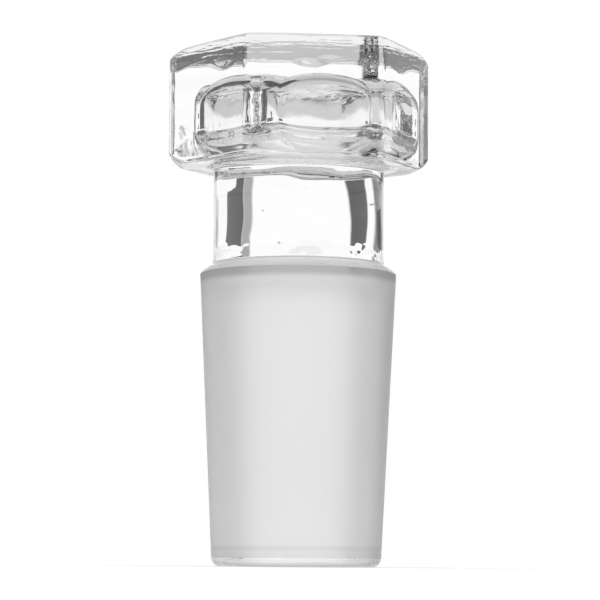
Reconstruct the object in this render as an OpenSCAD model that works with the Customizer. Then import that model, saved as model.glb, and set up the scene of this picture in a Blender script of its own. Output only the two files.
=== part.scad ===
// Solid glass stopper with a standard-taper ground plug, a clear round neck and a
// hexagonal grip head that is moulded hollow to keep the thick glass light.
// Millimetres. Z runs up the axis; the plug's narrow flat end sits on z = 0.

/* [Ground plug] */
// Diameter of the ground cone at its large end
joint_d = 18.8; // [17:0.1:30]
// Length of the ground cone along the axis
joint_len = 26.8; // [20:0.1:40]
// Taper of the ground cone: diameter lost per millimetre of length
joint_taper = 0.1; // [0.05:0.005:0.14]
// Radius of the fire-polished rim round the flat end
rim_r = 0.8; // [0.2:0.1:1.2]

/* [Neck] */
// Height of the sloping shoulder between the cone and the neck
shoulder_h = 1.1; // [0.6:0.1:2]
// How far the corner at the cone's large end is rounded
shoulder_r = 0.35; // [0.1:0.05:0.5]
// Diameter of the neck
neck_d = 16.4; // [12:0.1:17]
// Length of the neck, from the shoulder to the head
neck_len = 9.5; // [6:0.1:16]
// How far the neck swells where it meets the shoulder
neck_swell = 0.14; // [0:0.02:0.3]
// Height of that swelling
swell_h = 2.4; // [1:0.2:4]
// Height of the cove that leads from the neck into the underside of the head
cove_h = 0.8; // [0.3:0.1:1.5]
// How far the cove spreads out under the head
cove_w = 1.5; // [0.5:0.1:2]

/* [Head] */
// Width of the head across two opposite flats
head_flats = 22.25; // [20:0.25:30]
// Height of the head
head_h = 11.4; // [9:0.1:16]
// Radius of the six upright edges
edge_r = 0.9; // [0.4:0.1:2.4]
// Radius of the rounding round the top face
top_r = 0.5; // [0.3:0.1:1.4]
// Radius of the rounding round the underside
bottom_r = 1.3; // [0.5:0.1:1.4]
// How far the middle of the top face stands above its edge
crown = 0.2; // [0:0.05:0.6]

/* [Hollow in the head] */
// Thickness of the glass at the flats
wall = 2.8; // [1.8:0.1:3.5]
// Thickness of the glass over the hollow
ceiling = 3.4; // [2:0.1:4.5]
// Thickness of the glass between the neck and the hollow
hollow_floor = 1.2; // [1:0.1:3]
// Radius of the upright corners of the hollow
hollow_corner_r = 4; // [2:0.1:5]
// Radius of the hollow's other edges
hollow_edge_r = 1.9; // [0.5:0.1:2.4]
// How far the hollow lies off the axis, towards +X
hollow_shift = 0.7; // [0:0.05:0.8]

/* [Hidden] */

// Facets of a full turn on moulded corners, and steps in each arc of an outline and each roll
corner_fn = 48;
arc_steps = 8;
roll_steps = 6;
// Thickness of a slice through the moulded head, and the least radius of its corners
slice_h = 0.02;
least_r = 0.3;
// Radii of the crown's raised middle at its foot and its cap, as shares of the width across flats
crown_foot = 1 / 3;
crown_cap = 1 / 8;

base_r = (joint_d - joint_taper * joint_len) / 2;
joint_r = joint_d / 2;
neck_r = neck_d / 2;
shoulder_z = rim_r + joint_len;
neck_z = shoulder_z + shoulder_h;
head_z = neck_z + neck_len;

// Points of an arc round (x, z), from angle a0 to a1
function arc(x, z, r, a0, a1) =
    [for (i = [0 : arc_steps]) let (a = a0 + (a1 - a0) * i / arc_steps) [x + r * cos(a), z + r * sin(a)]];

// Neck radius at the height h above the shoulder: it eases out to the swollen foot
function swollen_r(h) = neck_r + neck_swell * pow(1 - h / swell_h, 2);

// Half section of everything that is round: rim, ground cone, shoulder, neck and cove.
// It reaches up into the head as far as the hollow's floor allows.
module turned_outline() {
    foot = neck_r + neck_swell;
    slope = atan2(shoulder_h, joint_r - foot);
    polygon(concat(
        [[0, 0]],
        arc(base_r - rim_r, rim_r, rim_r, -90, 0),
        [[joint_r, shoulder_z - shoulder_r]],
        [for (i = [1 : arc_steps]) let (a = (90 - slope) * i / arc_steps)
            [joint_r - shoulder_r * (1 - cos(a)), shoulder_z - shoulder_r * (1 - sin(a))]],
        [for (i = [0 : arc_steps]) let (h = swell_h * i / arc_steps) [swollen_r(h), neck_z + h]],
        [for (i = [0 : arc_steps]) let (a = 90 * i / arc_steps)
            [neck_r + cove_w * (1 - cos(a)), head_z - cove_h * (1 - sin(a))]],
        [[neck_r + cove_w, head_z + hollow_floor / 2], [0, head_z + hollow_floor / 2]]
    ));
}

// Hexagon with flats facing +Y and -Y and round corners, drawn in on all sides by inset
module rounded_hexagon(flats, corner_r, inset) {
    r = max(corner_r - inset, least_r);
    offset(r = r, $fn = corner_fn)
        circle(r = (flats / 2 - inset - r) / cos(30), $fn = 6);
}

// Hexagonal block with round upright corners and rolled edges, whose top may be crowned.
// It is skinned over its straight part, over slices of each roll and over the crown's middle.
module hex_block(flats, h, corner_r, roll_top, roll_bottom, crown) {
    side_top = h - crown - roll_top;
    hull() {
        translate([0, 0, roll_bottom])
            linear_extrude(side_top - roll_bottom)
                rounded_hexagon(flats, corner_r, 0);
        for (i = [0 : roll_steps - 1]) {
            a = 90 * i / roll_steps;
            translate([0, 0, roll_bottom * (1 - cos(a))])
                linear_extrude(slice_h)
                    rounded_hexagon(flats, corner_r, roll_bottom * (1 - sin(a)));
            translate([0, 0, side_top + roll_top * cos(a) - slice_h])
                linear_extrude(slice_h)
                    rounded_hexagon(flats, corner_r, roll_top * (1 - sin(a)));
        }
        if (crown > 0)
            translate([0, 0, h - crown / 2])
                cylinder(r1 = flats * crown_foot, r2 = flats * crown_cap, h = crown / 2, $fn = corner_fn);
    }
}

module stopper() {
    color("gainsboro", 0.6)
        difference() {
            union() {
                rotate_extrude($fn = 96)
                    turned_outline();
                translate([0, 0, head_z])
                    hex_block(head_flats, head_h, edge_r, top_r, bottom_r, crown);
            }
            translate([hollow_shift, 0, head_z + hollow_floor])
                hex_block(head_flats - 2 * wall, head_h - hollow_floor - ceiling, hollow_corner_r,
                          hollow_edge_r, hollow_edge_r, 0);
        }
}

stopper();
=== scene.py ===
import math

import bpy
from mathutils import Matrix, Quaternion, Vector, noise


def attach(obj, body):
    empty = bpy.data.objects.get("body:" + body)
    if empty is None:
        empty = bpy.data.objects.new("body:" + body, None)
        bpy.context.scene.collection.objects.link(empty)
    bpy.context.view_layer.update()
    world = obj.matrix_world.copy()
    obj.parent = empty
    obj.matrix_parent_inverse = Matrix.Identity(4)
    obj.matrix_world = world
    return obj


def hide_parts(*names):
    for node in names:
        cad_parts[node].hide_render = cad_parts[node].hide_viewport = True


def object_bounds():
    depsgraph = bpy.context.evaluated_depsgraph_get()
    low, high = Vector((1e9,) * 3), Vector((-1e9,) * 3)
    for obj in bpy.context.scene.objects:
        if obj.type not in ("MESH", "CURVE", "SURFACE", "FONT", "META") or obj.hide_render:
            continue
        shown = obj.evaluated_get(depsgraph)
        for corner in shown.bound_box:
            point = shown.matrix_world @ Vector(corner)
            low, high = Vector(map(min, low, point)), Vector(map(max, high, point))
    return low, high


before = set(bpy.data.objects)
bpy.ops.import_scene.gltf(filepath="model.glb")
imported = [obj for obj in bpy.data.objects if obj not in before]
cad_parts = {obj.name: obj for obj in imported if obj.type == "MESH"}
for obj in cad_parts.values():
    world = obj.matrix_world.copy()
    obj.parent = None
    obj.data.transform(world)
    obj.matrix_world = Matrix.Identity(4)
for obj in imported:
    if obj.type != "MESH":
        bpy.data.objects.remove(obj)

cad_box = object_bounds()

# ---------------------------------------------------------------------------------------------
# Ground plug. A solid glass cone, drawn down from rod and ground true with abrasive, so that it
# seals in its socket. Its narrow end is flat, and the flame has rounded the rim. Sizes are in
# millimetres, as on the glassblower's drawing.
# ---------------------------------------------------------------------------------------------
plug_small_r = 8.1
plug_large_r = 9.42
plug_top_z = 27.9
rim_r = 0.8
side_steps = 22
corner_steps = 20
plug_rows = 24
flat_shares = (0.03, 0.1, 0.2, 0.3, 0.4, 0.5, 0.6, 0.7, 0.8, 0.88, 0.95)

skin = []
skin_is_ground = []


def hexagon(apothem, corner_r, z):
    """A ring of points round a hexagon with flats facing +Y and -Y and round corners."""
    corner_r = max(corner_r, 0.02)
    half_side = (apothem - corner_r) * math.tan(math.radians(30))
    corner_at = (apothem - corner_r) / math.cos(math.radians(30))
    ring = []
    for side in range(6):
        facing = math.radians(60 * side - 90)
        along = facing + math.pi / 2
        for i in range(side_steps):
            s = half_side * (2 * i / side_steps - 1)
            ring.append((apothem * math.cos(facing) + s * math.cos(along),
                         apothem * math.sin(facing) + s * math.sin(along), z))
        middle = facing + math.radians(30)
        for i in range(corner_steps):
            turn = facing + math.radians(60) * i / corner_steps
            ring.append((corner_at * math.cos(middle) + corner_r * math.cos(turn),
                         corner_at * math.sin(middle) + corner_r * math.sin(turn), z))
    return ring


ring_turns = [math.atan2(y, x) for x, y, z in hexagon(10, 4, 0)]


def circle(radius, z):
    """A ring of points round a circle, at the same turns as a hexagon's points."""
    return [(radius * math.cos(t), radius * math.sin(t), z) for t in ring_turns]


def quarter(steps, first=1):
    """Even angles up to a quarter turn, for a rolled edge."""
    return [math.radians(90 * i / steps) for i in range(first, steps + 1)]


def add_ring(ring, ground=False):
    skin.append(ring)
    skin_is_ground.append(ground)


for share in flat_shares:
    add_ring(circle((plug_small_r - rim_r) * share, 0))
for a in quarter(10, first=0):
    add_ring(circle(plug_small_r - rim_r * (1 - math.sin(a)), rim_r * (1 - math.cos(a))))
for i in range(1, plug_rows + 1):
    up = i / plug_rows
    add_ring(circle(plug_small_r + (plug_large_r - plug_small_r) * up,
                    rim_r + (plug_top_z - rim_r) * up), ground=True)

# ---------------------------------------------------------------------------------------------
# Shoulder and neck. Over the ground zone the same glass is left clear and fire-polished: a short
# full shoulder, then a solid round neck, which swells a little at its foot and runs into the
# head with a small cove.
# ---------------------------------------------------------------------------------------------
shoulder_full = 1.3  # 1 is a straight slope, 2 a quarter round
neck_foot_z = 28.7
neck_r = 8.19
neck_swell = 0.14
swell_h = 2.4
neck_rows = 40
head_z = 38.2
cove_h = 0.5
cove_w = 1.4

shoulder_w = plug_large_r - neck_r - neck_swell
shoulder_h = neck_foot_z - plug_top_z
for a in quarter(16):
    add_ring(circle(plug_large_r - shoulder_w * (1 - math.cos(a) ** (2 / shoulder_full)),
                    plug_top_z + shoulder_h * math.sin(a) ** (2 / shoulder_full)))
for i in range(1, neck_rows + 1):
    z = neck_foot_z + (head_z - cove_h - neck_foot_z) * i / neck_rows
    left = max(0, 1 - (z - neck_foot_z) / swell_h)
    add_ring(circle(neck_r + neck_swell * left ** 2, z))
for a in quarter(16):
    add_ring(circle(neck_r + cove_w * (1 - math.cos(a)), head_z - cove_h * (1 - math.sin(a))))

# ---------------------------------------------------------------------------------------------
# Grip head. A hexagonal head of the same clear glass, pressed in a mould while it was soft. Its
# edges are rolled over, its side corners have slumped, and it came out of the mould leaning a
# little, with shallow dents in the back edge of its crowned top.
# ---------------------------------------------------------------------------------------------
MM = 0.001
side_gap = 0.005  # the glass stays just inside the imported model's box
top_gap = 0.01
head_apothem = round(cad_box[1][1] / MM, 3) - side_gap
head_top_z = round(cad_box[1][2] / MM, 2) - top_gap
head_corner_r = 1.4
side_rows = 36
top_rings = 30
top_roll_r = 0.25
crown = 0.22
head_lean = 0.0065
under_roll_r = 0.3
under_shares = (0.08, 0.16, 0.25, 0.35, 0.45, 0.55, 0.65, 0.75, 0.85, 0.93, 1)
corner_slump = 0.8
slump_from = 11.0
corner_lift = 1.4
lift_h = 4
under_lean = 0.035
rim_dent = 1.0
dents_per_mm = 0.3
dent_seed = 9.4


def blend_rings(inner, outer, share):
    return [tuple(a + (b - a) * share for a, b in zip(p, q)) for p, q in zip(inner, outer)]


cove_edge = skin[-1]
under_edge = hexagon(head_apothem - under_roll_r, head_corner_r - under_roll_r, head_z)
for share in under_shares:
    add_ring(blend_rings(cove_edge, under_edge, share))
for a in quarter(12):
    inset = under_roll_r * (1 - math.sin(a))
    add_ring(hexagon(head_apothem - inset, head_corner_r - inset,
                     head_z + under_roll_r * (1 - math.cos(a))))
side_low_z = head_z + under_roll_r
side_high_z = head_top_z - top_roll_r
for i in range(1, side_rows + 1):
    add_ring(hexagon(head_apothem, head_corner_r,
                     side_low_z + (side_high_z - side_low_z) * i / side_rows))
for a in quarter(12):
    inset = top_roll_r * (1 - math.cos(a))
    add_ring(hexagon(head_apothem - inset, head_corner_r - inset,
                     side_high_z + top_roll_r * math.sin(a)))
top_edge = skin[-1]
for i in range(1, top_rings + 1):
    share = 1 - i / (top_rings + 1)
    add_ring([(x * share, y * share, z) for x, y, z in top_edge])

corner_from_axis = head_apothem / math.cos(math.radians(30))


def settle(x, y, z):
    """How the soft glass has settled: the crown, both leans, the slumped corners and the dents."""
    up = max(0, (z - head_z) / (head_top_z - head_z))
    low = max(0, 1 - abs(z - head_z) / lift_h)
    corner = max(0, (abs(x) - slump_from) / (corner_from_axis - slump_from))
    hole = max(0, noise.noise(Vector((x * dents_per_mm, y * dents_per_mm, dent_seed))))
    dent = hole * max(0, y / head_apothem) ** 2
    return x, y, (z + up * (head_lean * x - crown * (x * x + y * y) / head_apothem ** 2)
                  - rim_dent * dent * up ** 3
                  + corner ** 2 * (corner_lift * low - corner_slump * up ** 3)
                  + under_lean * low * y)


skin = [[settle(x, y, z) for x, y, z in ring] for ring in skin]

# ---------------------------------------------------------------------------------------------
# Hollow. The thick head is moulded round a sealed air space, which keeps it light and lets it
# cool evenly. It is hexagonal like the head, with soft corners and a sagging floor, and it lies
# a little to one side and a little turned.
# ---------------------------------------------------------------------------------------------
hollow_apothem = 8.3
hollow_corner_r = 4.0
hollow_edge_r = 1.9
hollow_floor_z = 39.5
hollow_top_z = 46.2
wall_rows = 18
hollow_shift = 0.7
hollow_turn = math.radians(4)
floor_sag = 0.7
floor_corner_lift = 0.5
ceiling_corner_drop = 0.8

hollow = []
floor_edge = hexagon(hollow_apothem - hollow_edge_r, hollow_corner_r - hollow_edge_r, hollow_floor_z)
for share in flat_shares[:-2] + (0.9, 1):
    hollow.append([(x * share, y * share, z - floor_sag * (1 - share ** 2))
                   for x, y, z in floor_edge])
for a in quarter(12):
    inset = hollow_edge_r * (1 - math.sin(a))
    hollow.append(hexagon(hollow_apothem - inset, hollow_corner_r - inset,
                          hollow_floor_z + hollow_edge_r * (1 - math.cos(a))))
wall_low_z = hollow_floor_z + hollow_edge_r
wall_high_z = hollow_top_z - hollow_edge_r
for i in range(1, wall_rows + 1):
    hollow.append(hexagon(hollow_apothem, hollow_corner_r,
                          wall_low_z + (wall_high_z - wall_low_z) * i / wall_rows))
for a in quarter(12):
    inset = hollow_edge_r * (1 - math.cos(a))
    hollow.append(hexagon(hollow_apothem - inset, hollow_corner_r - inset,
                          wall_high_z + hollow_edge_r * math.sin(a)))
ceiling_edge = hollow[-1]
for share in flat_shares[::-1]:
    hollow.append([(x * share, y * share, z) for x, y, z in ceiling_edge])


def soften_corner(x, y, z):
    """The glass fills the mould's corners less, so there the floor rises and the ceiling drops."""
    turn = math.degrees(math.atan2(y, x)) % 60 - 30
    to_corner = abs(turn) / 30
    out = math.hypot(x, y) / hollow_apothem
    height = (z - hollow_floor_z) / (hollow_top_z - hollow_floor_z)
    shift = floor_corner_lift * (1 - height) ** 2 - ceiling_corner_drop * height ** 2
    return z + shift * to_corner ** 2 * out ** 2


hollow = [[(x * math.cos(hollow_turn) - y * math.sin(hollow_turn) + hollow_shift,
            x * math.sin(hollow_turn) + y * math.cos(hollow_turn),
            soften_corner(x, y, z)) for x, y, z in ring] for ring in hollow]

# ---------------------------------------------------------------------------------------------
# Air bubbles. A few small round bubbles were left in the melt: one larger in the wall of the
# head, and specks in the neck. Each is given by its place and its radius.
# ---------------------------------------------------------------------------------------------
head_bubble = (-6.5, -7.1, 40.2, 0.45)
neck_bubbles = ((-3.96, -5.53, 33.3, 0.1), (-2.53, -6.22, 30.2, 0.13),
                (4.1, 3.2, 34.9, 0.09), (-5.6, 1.4, 31.8, 0.08))

bubbles = []
for x, y, z, r in (head_bubble, *neck_bubbles):
    bubbles.append([[(x + r * math.sin(a) * math.cos(t), y + r * math.sin(a) * math.sin(t),
                      z - r * math.cos(a)) for t in ring_turns[::8]]
                    for a in (math.radians(15 * i) for i in range(1, 12))])

# ---------------------------------------------------------------------------------------------
# The one piece of glass. The outer skin, the wall of the hollow and the bubbles are surfaces of
# a single piece, so they are one mesh. Clear glass is smooth, with flow waves where it was
# pressed, and the ground zone is the same glass with a fine matt tooth.
# ---------------------------------------------------------------------------------------------
points = []
faces = []
face_is_ground = []


def add_shell(rings, inward, ground_flags=None):
    """Close a stack of rings into a shell whose faces look away from the glass."""
    first = len(points)
    count = len(rings[0])
    for ring in rings:
        points.extend(ring)
    for level in range(len(rings) - 1):
        for i in range(count):
            a = first + level * count + i
            b = first + level * count + (i + 1) % count
            face = (a, b, b + count, a + count)
            faces.append(face[::-1] if inward else face)
            face_is_ground.append(bool(ground_flags and ground_flags[level + 1]))
    for ring, turned in ((rings[0], not inward), (rings[-1], inward)):
        centre = len(points)
        points.append(tuple(sum(axis) / count for axis in zip(*ring)))
        start = first if ring is rings[0] else first + (len(rings) - 1) * count
        for i in range(count):
            face = (centre, start + i, start + (i + 1) % count)
            faces.append(face[::-1] if turned else face)
            face_is_ground.append(False)


add_shell(skin, inward=False, ground_flags=skin_is_ground)
add_shell(hollow, inward=True)
for bubble in bubbles:
    add_shell(bubble, inward=True)

stopper_mesh = bpy.data.meshes.new("glass_stopper")
stopper_mesh.from_pydata([(x * MM, y * MM, z * MM) for x, y, z in points], [], faces)
for polygon, ground in zip(stopper_mesh.polygons, face_is_ground):
    polygon.material_index = 1 if ground else 0
    polygon.use_smooth = True
stopper = bpy.data.objects.new("glass_stopper", stopper_mesh)
bpy.context.collection.objects.link(stopper)


def link(tree, source, socket):
    if isinstance(source, (int, float)):
        socket.default_value = source
    else:
        tree.links.new(source, socket)


def maths(tree, operation, *values):
    node = tree.nodes.new("ShaderNodeMath")
    node.operation = operation
    for value, socket in zip(values, node.inputs):
        link(tree, value, socket)
    return node.outputs[0]


def apart(tree, vector):
    """The X, Y and Z of a vector, each by itself."""
    node = tree.nodes.new("ShaderNodeSeparateXYZ")
    link(tree, vector, node.inputs[0])
    return node.outputs[0], node.outputs[1], node.outputs[2]


def rise(tree, value, start, end):
    """0 before start, 1 after end, smooth between."""
    node = tree.nodes.new("ShaderNodeMapRange")
    node.interpolation_type = "SMOOTHSTEP"
    link(tree, value, node.inputs["Value"])
    link(tree, start, node.inputs["From Min"])
    link(tree, end, node.inputs["From Max"])
    return node.outputs[0]


def between(tree, value, low, high, soft=2.0):
    """1 between low and high, 0 outside, with soft edges."""
    inside = rise(tree, value, low - soft / 2, low + soft / 2)
    past = rise(tree, value, high - soft / 2, high + soft / 2)
    return maths(tree, "SUBTRACT", inside, past)


def shade(tree, light, mask, amount):
    """The light, darkened by the amount where the mask is 1. A negative amount adds."""
    return maths(tree, "MULTIPLY", light, maths(tree, "MULTIPLY_ADD", mask, -amount, 1))


def lumps(tree, place, scale, detail):
    node = tree.nodes.new("ShaderNodeTexNoise")
    node.inputs["Scale"].default_value = scale
    node.inputs["Detail"].default_value = detail
    link(tree, place, node.inputs["Vector"])
    return node


wave_height = 0.055
waves_per_m = 420
flat_calm = 0.65
flats_from_r = 10.2
flats_full_r = 10.8
neck_calm = 0.8
mid_neck_low_z = 30.6
mid_neck_high_z = 37.2
mid_neck_soft = 1.2
top_waves = 1.6
foot_waves = 2.2
foot_low_z = 29.5
foot_high_z = 31
broad_height = 1.0
broad_per_m = 130
broad_seed = 2


def flow_waves(tree):
    """Fine waves, strongest on the top and the neck's foot, over broad ones down the neck."""
    place = tree.nodes.new("ShaderNodeTexCoord").outputs["Object"]
    x, y, z = apart(tree, place)
    facing_up = apart(tree, tree.nodes.new("ShaderNodeNewGeometry").outputs["True Normal"])[2]
    from_axis = maths(tree, "SQRT", maths(tree, "ADD", maths(tree, "MULTIPLY", x, x),
                                          maths(tree, "MULTIPLY", y, y)))
    upright = rise(tree, maths(tree, "ABSOLUTE", facing_up), 0.6, 0.3)
    flats = maths(tree, "MULTIPLY", upright,
                  rise(tree, from_axis, flats_from_r * MM, flats_full_r * MM))
    mid_neck = between(tree, z, mid_neck_low_z * MM, mid_neck_high_z * MM,
                       soft=mid_neck_soft * MM)
    top = maths(tree, "MULTIPLY", rise(tree, facing_up, 0.5, 0.8),
                rise(tree, z, (head_top_z - 2) * MM, (head_top_z - 1.5) * MM))
    foot = rise(tree, z, foot_high_z * MM, foot_low_z * MM)
    neck = rise(tree, z, (head_z + 0.2) * MM, (head_z - 0.6) * MM)
    height = wave_height * MM
    for zone, amount in ((flats, flat_calm), (mid_neck, neck_calm), (top, -top_waves),
                         (foot, -foot_waves)):
        height = shade(tree, height, zone, amount)
    fine = lumps(tree, place, waves_per_m, 2)
    broad = lumps(tree, place, broad_per_m, 1)
    broad.noise_dimensions = "4D"
    broad.inputs["W"].default_value = broad_seed
    broad_waves = maths(tree, "MULTIPLY", broad_height * MM, broad.outputs[0])
    return maths(tree, "MULTIPLY_ADD", height, maths(tree, "SUBTRACT", fine.outputs[0], 0.5),
                 maths(tree, "MULTIPLY", broad_waves, neck))


glass_ior = 1.5


def glass(name, roughness):
    """Colourless glass of the given polish."""
    material = bpy.data.materials.new(name)
    material.use_nodes = True
    shader = material.node_tree.nodes["Principled BSDF"]
    shader.inputs["Base Color"].default_value = (1, 1, 1, 1)
    shader.inputs["Roughness"].default_value = roughness
    shader.inputs["IOR"].default_value = glass_ior
    shader.inputs["Transmission Weight"].default_value = 1
    return material, material.node_tree, shader


clear_glass, tree, shader = glass("clear_glass", 0)
bump = tree.nodes.new("ShaderNodeBump")
bump.inputs["Distance"].default_value = 1
bump.inputs["Strength"].default_value = 1
link(tree, flow_waves(tree), bump.inputs["Height"])
link(tree, bump.outputs[0], shader.inputs["Normal"])

# Matt glass loses a little light. Its colour is darkened further by painted shade: a band just
# under the shoulder and a line over the rim.
matt_roughness = 0.47
matt_tint = 0.93
shoulder_painted_shade = 0.55
shoulder_painted_shade_from_z = plug_top_z - 1.2
shoulder_painted_shade_full_z = plug_top_z - 0.5
rim_painted_shade = 0.15
rim_painted_shade_low_z = 1.5
rim_painted_shade_high_z = 1.9
rim_painted_shade_soft = 0.4
ground_glass, tree, shader = glass("ground_glass", matt_roughness)
z = apart(tree, tree.nodes.new("ShaderNodeTexCoord").outputs["Object"])[2]
# Painted shade: the glass's colour is darker in a band under the shoulder and a line over the rim.
painted_shade_under_shoulder = rise(tree, z, shoulder_painted_shade_from_z * MM, shoulder_painted_shade_full_z * MM)
painted_shade_over_rim = between(tree, z, rim_painted_shade_low_z * MM, rim_painted_shade_high_z * MM, soft=rim_painted_shade_soft * MM)
tint_and_painted_shade = shade(tree, shade(tree, matt_tint, painted_shade_under_shoulder, shoulder_painted_shade), painted_shade_over_rim, rim_painted_shade)
colour = tree.nodes.new("ShaderNodeCombineColor")
for channel in ("Red", "Green", "Blue"):
    link(tree, tint_and_painted_shade, colour.inputs[channel])
link(tree, colour.outputs[0], shader.inputs["Base Color"])

stopper_mesh.materials.append(clear_glass)
stopper_mesh.materials.append(ground_glass)
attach(stopper, "root")
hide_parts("stopper")

# ---------------------------------------------------------------------------------------------
# Table. The stopper stands on a white matt table. Through the glass and in its reflections the
# table glows instead, with painted shade: a little greyer round the stopper, and dark at both
# sides, where the cards' feet stand. Distances are in metres.
# ---------------------------------------------------------------------------------------------
table_reach = 3.0
table_drop = 0.00002
table_end = 0.29
table_light = 0.9
table_painted_shade_from = 0.04
table_painted_shade = 0.25
table_deeper_shade_from = 0.09
table_deeper_shade = 0.22
sides_from = 0.045
table_side_shade = 0.78
side_turn_from = 13
side_turn_full = 20
edge_soft = 0.02
view_turn = 7.5
extra_white = 0.1


def turned_back(tree, path):
    """1 for light that was turned back inside the glass, 0 for what is seen straight through."""
    return rise(tree, path.outputs["Ray Depth"], 2.2, 2.8)


def in_the_open(tree, path):
    """1 for what the camera sees, or matt things are lit by, with no glass or gloss between."""
    return maths(tree, "MAXIMUM", path.outputs["Is Camera Ray"], path.outputs["Is Diffuse Ray"])


table_mesh = bpy.data.meshes.new("table")
table_mesh.from_pydata([(-table_reach, -table_reach, 0), (table_reach, -table_reach, 0),
                        (table_reach, table_reach, 0), (-table_reach, table_reach, 0)],
                       [], [(0, 1, 2, 3)])
table = bpy.data.objects.new("table", table_mesh)
table.location.z = -table_drop
bpy.context.collection.objects.link(table)

white_table = bpy.data.materials.new("white_table")
white_table.use_nodes = True
tree = white_table.node_tree
tree.nodes.clear()
x, y, z = apart(tree, tree.nodes.new("ShaderNodeTexCoord").outputs["Object"])
ahead = maths(tree, "MULTIPLY_ADD", x, math.sin(math.radians(view_turn)),
              maths(tree, "MULTIPLY", y, math.cos(math.radians(view_turn))))
aside = maths(tree, "MULTIPLY_ADD", x, math.cos(math.radians(view_turn)),
              maths(tree, "MULTIPLY", y, -math.sin(math.radians(view_turn))))
away = maths(tree, "SQRT", maths(tree, "ADD", maths(tree, "MULTIPLY", ahead, ahead),
                                 maths(tree, "MULTIPLY", aside, aside)))
turn = maths(tree, "ABSOLUTE", maths(tree, "MULTIPLY", maths(tree, "ARCTAN2", aside, ahead),
                                     180 / math.pi))
path = tree.nodes.new("ShaderNodeLightPath")
# Painted shade on the table's glow: greyer round the stopper, and dark at both sides.
lit = shade(tree, table_light, between(tree, away, table_painted_shade_from, table_end, edge_soft), table_painted_shade)
lit = shade(tree, lit, between(tree, away, table_deeper_shade_from, table_end, edge_soft), table_deeper_shade)
sides = maths(tree, "MULTIPLY", between(tree, away, sides_from, table_end, edge_soft),
              rise(tree, turn, side_turn_from, side_turn_full))
lit = shade(tree, lit, maths(tree, "MULTIPLY", turned_back(tree, path), sides), table_side_shade)
glow = tree.nodes.new("ShaderNodeEmission")
link(tree, lit, glow.inputs["Strength"])

matt = tree.nodes.new("ShaderNodeBsdfDiffuse")
matt.inputs["Color"].default_value = (1, 1, 1, 1)
white = tree.nodes.new("ShaderNodeEmission")
white.inputs["Strength"].default_value = extra_white
whiter = tree.nodes.new("ShaderNodeAddShader")
tree.links.new(matt.outputs[0], whiter.inputs[0])
tree.links.new(white.outputs[0], whiter.inputs[1])
mix = tree.nodes.new("ShaderNodeMixShader")
link(tree, in_the_open(tree, path), mix.inputs["Fac"])
tree.links.new(glow.outputs[0], mix.inputs[1])
tree.links.new(whiter.outputs[0], mix.inputs[2])
out = tree.nodes.new("ShaderNodeOutputMaterial")
tree.links.new(mix.outputs[0], out.inputs["Surface"])
table_mesh.materials.append(white_table)

# ---------------------------------------------------------------------------------------------
# Light. A white backdrop lights the stopper evenly from all round. Low dark cards stand beside
# it, and they, the dimmer ceiling and the dark far ends of the room show only through the glass
# and in its reflections. Turns are degrees to the right of the line of sight, lifts degrees up.
# ---------------------------------------------------------------------------------------------
ceiling_from = 9.5
ceiling_full = 24
ceiling_dark = 0.38
overhead_from = 35
overhead_full = 60
overhead_dark = 0.2
card_dark = 0.93
right_card_dark = 0.92
grey_card_dark = 0.62
card_foot = 3.2
card_top = 8.8
short_card_top = 8.3
far_right_dark = 0.35
behind_dark = 0.3

world = bpy.data.worlds.new("studio")
bpy.context.scene.world = world
world.use_nodes = True
tree = world.node_tree
tree.nodes.clear()
x, y, z = apart(tree, tree.nodes.new("ShaderNodeTexCoord").outputs["Generated"])
turn = maths(tree, "MULTIPLY_ADD", maths(tree, "ARCTAN2", x, y), 180 / math.pi, -view_turn)
lift = maths(tree, "MULTIPLY", maths(tree, "ARCSINE", z), 180 / math.pi)
path = tree.nodes.new("ShaderNodeLightPath")
deep = turned_back(tree, path)


def dark_between(shown, left, right, soft=2.0):
    """A dark thing from its left edge's turn to its right edge's, where shown is 1."""
    return maths(tree, "MULTIPLY", shown, between(tree, turn, left, right, soft))


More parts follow.
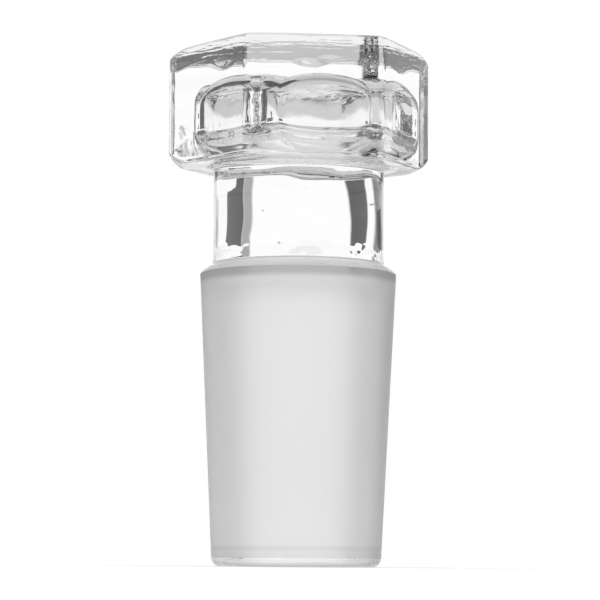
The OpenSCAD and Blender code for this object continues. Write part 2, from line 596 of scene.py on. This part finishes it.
light = shade(tree, 1.0, rise(tree, lift, ceiling_from, ceiling_full), ceiling_dark)
light = shade(tree, light, rise(tree, lift, overhead_from, overhead_full), overhead_dark)
tall = between(tree, lift, card_foot, card_top, soft=0.2)
short = between(tree, lift, card_foot, short_card_top, soft=0.2)
grey_card = dark_between(tall, 22.5, 29)
right_card = maths(tree, "MAXIMUM", dark_between(tall, 29, 36, soft=1),
                   dark_between(short, 34, 46, soft=1))
left_card = dark_between(tall, -38, -24)
far_left = dark_between(deep, -125, -48, soft=5)
far_right = dark_between(deep, 63, 105, soft=5)
behind = maths(tree, "MULTIPLY", deep, rise(tree, maths(tree, "ABSOLUTE", turn), 105, 110))
for dark_thing, amount in ((grey_card, grey_card_dark), (right_card, right_card_dark),
                           (left_card, card_dark), (far_left, card_dark),
                           (far_right, far_right_dark), (behind, behind_dark)):
    light = shade(tree, light, dark_thing, amount)

sky = tree.nodes.new("ShaderNodeBackground")
sky.inputs["Color"].default_value = (1, 1, 1, 1)
link(tree, maths(tree, "MAXIMUM", light, in_the_open(tree, path)), sky.inputs["Strength"])
out = tree.nodes.new("ShaderNodeOutputWorld")
tree.links.new(sky.outputs[0], out.inputs["Surface"])

# ---------------------------------------------------------------------------------------------
# Camera. It stands low, close to the table, and looks slightly up at the stopper from a little
# to the left of the front flat, through a long lens. Light that keeps going round in the glass
# is dropped after a few turns, which leaves the dark strip in the head.
# ---------------------------------------------------------------------------------------------
camera_away = 0.2584
camera_height = 0.0009
camera_lens = 162
camera_tilt = math.radians(5.44)
camera_roll = math.radians(-0.42)
camera_yaw = math.radians(-0.042)

camera_data = bpy.data.cameras.new("camera")
camera_data.sensor_width = 36
camera_data.lens = camera_lens
camera_data.clip_start = 0.01
camera = bpy.data.objects.new("camera", camera_data)
bpy.context.collection.objects.link(camera)
ahead = Vector((math.sin(math.radians(view_turn)), math.cos(math.radians(view_turn)), 0))
look = ahead * math.cos(camera_tilt) + Vector((0, 0, 1)) * math.sin(camera_tilt)
look.rotate(Quaternion((0, 0, 1), camera_yaw))
camera.location = ahead * -camera_away + Vector((0, 0, camera_height))
camera.rotation_mode = "QUATERNION"
camera.rotation_quaternion = Quaternion(look, camera_roll) @ look.to_track_quat("-Z", "Y")
bpy.context.scene.camera = camera
bpy.context.scene.view_settings.view_transform = "Standard"
bpy.context.scene.cycles.max_bounces = 10
bpy.context.scene.cycles.transmission_bounces = 24
bpy.context.scene.cycles.glossy_bounces = 24
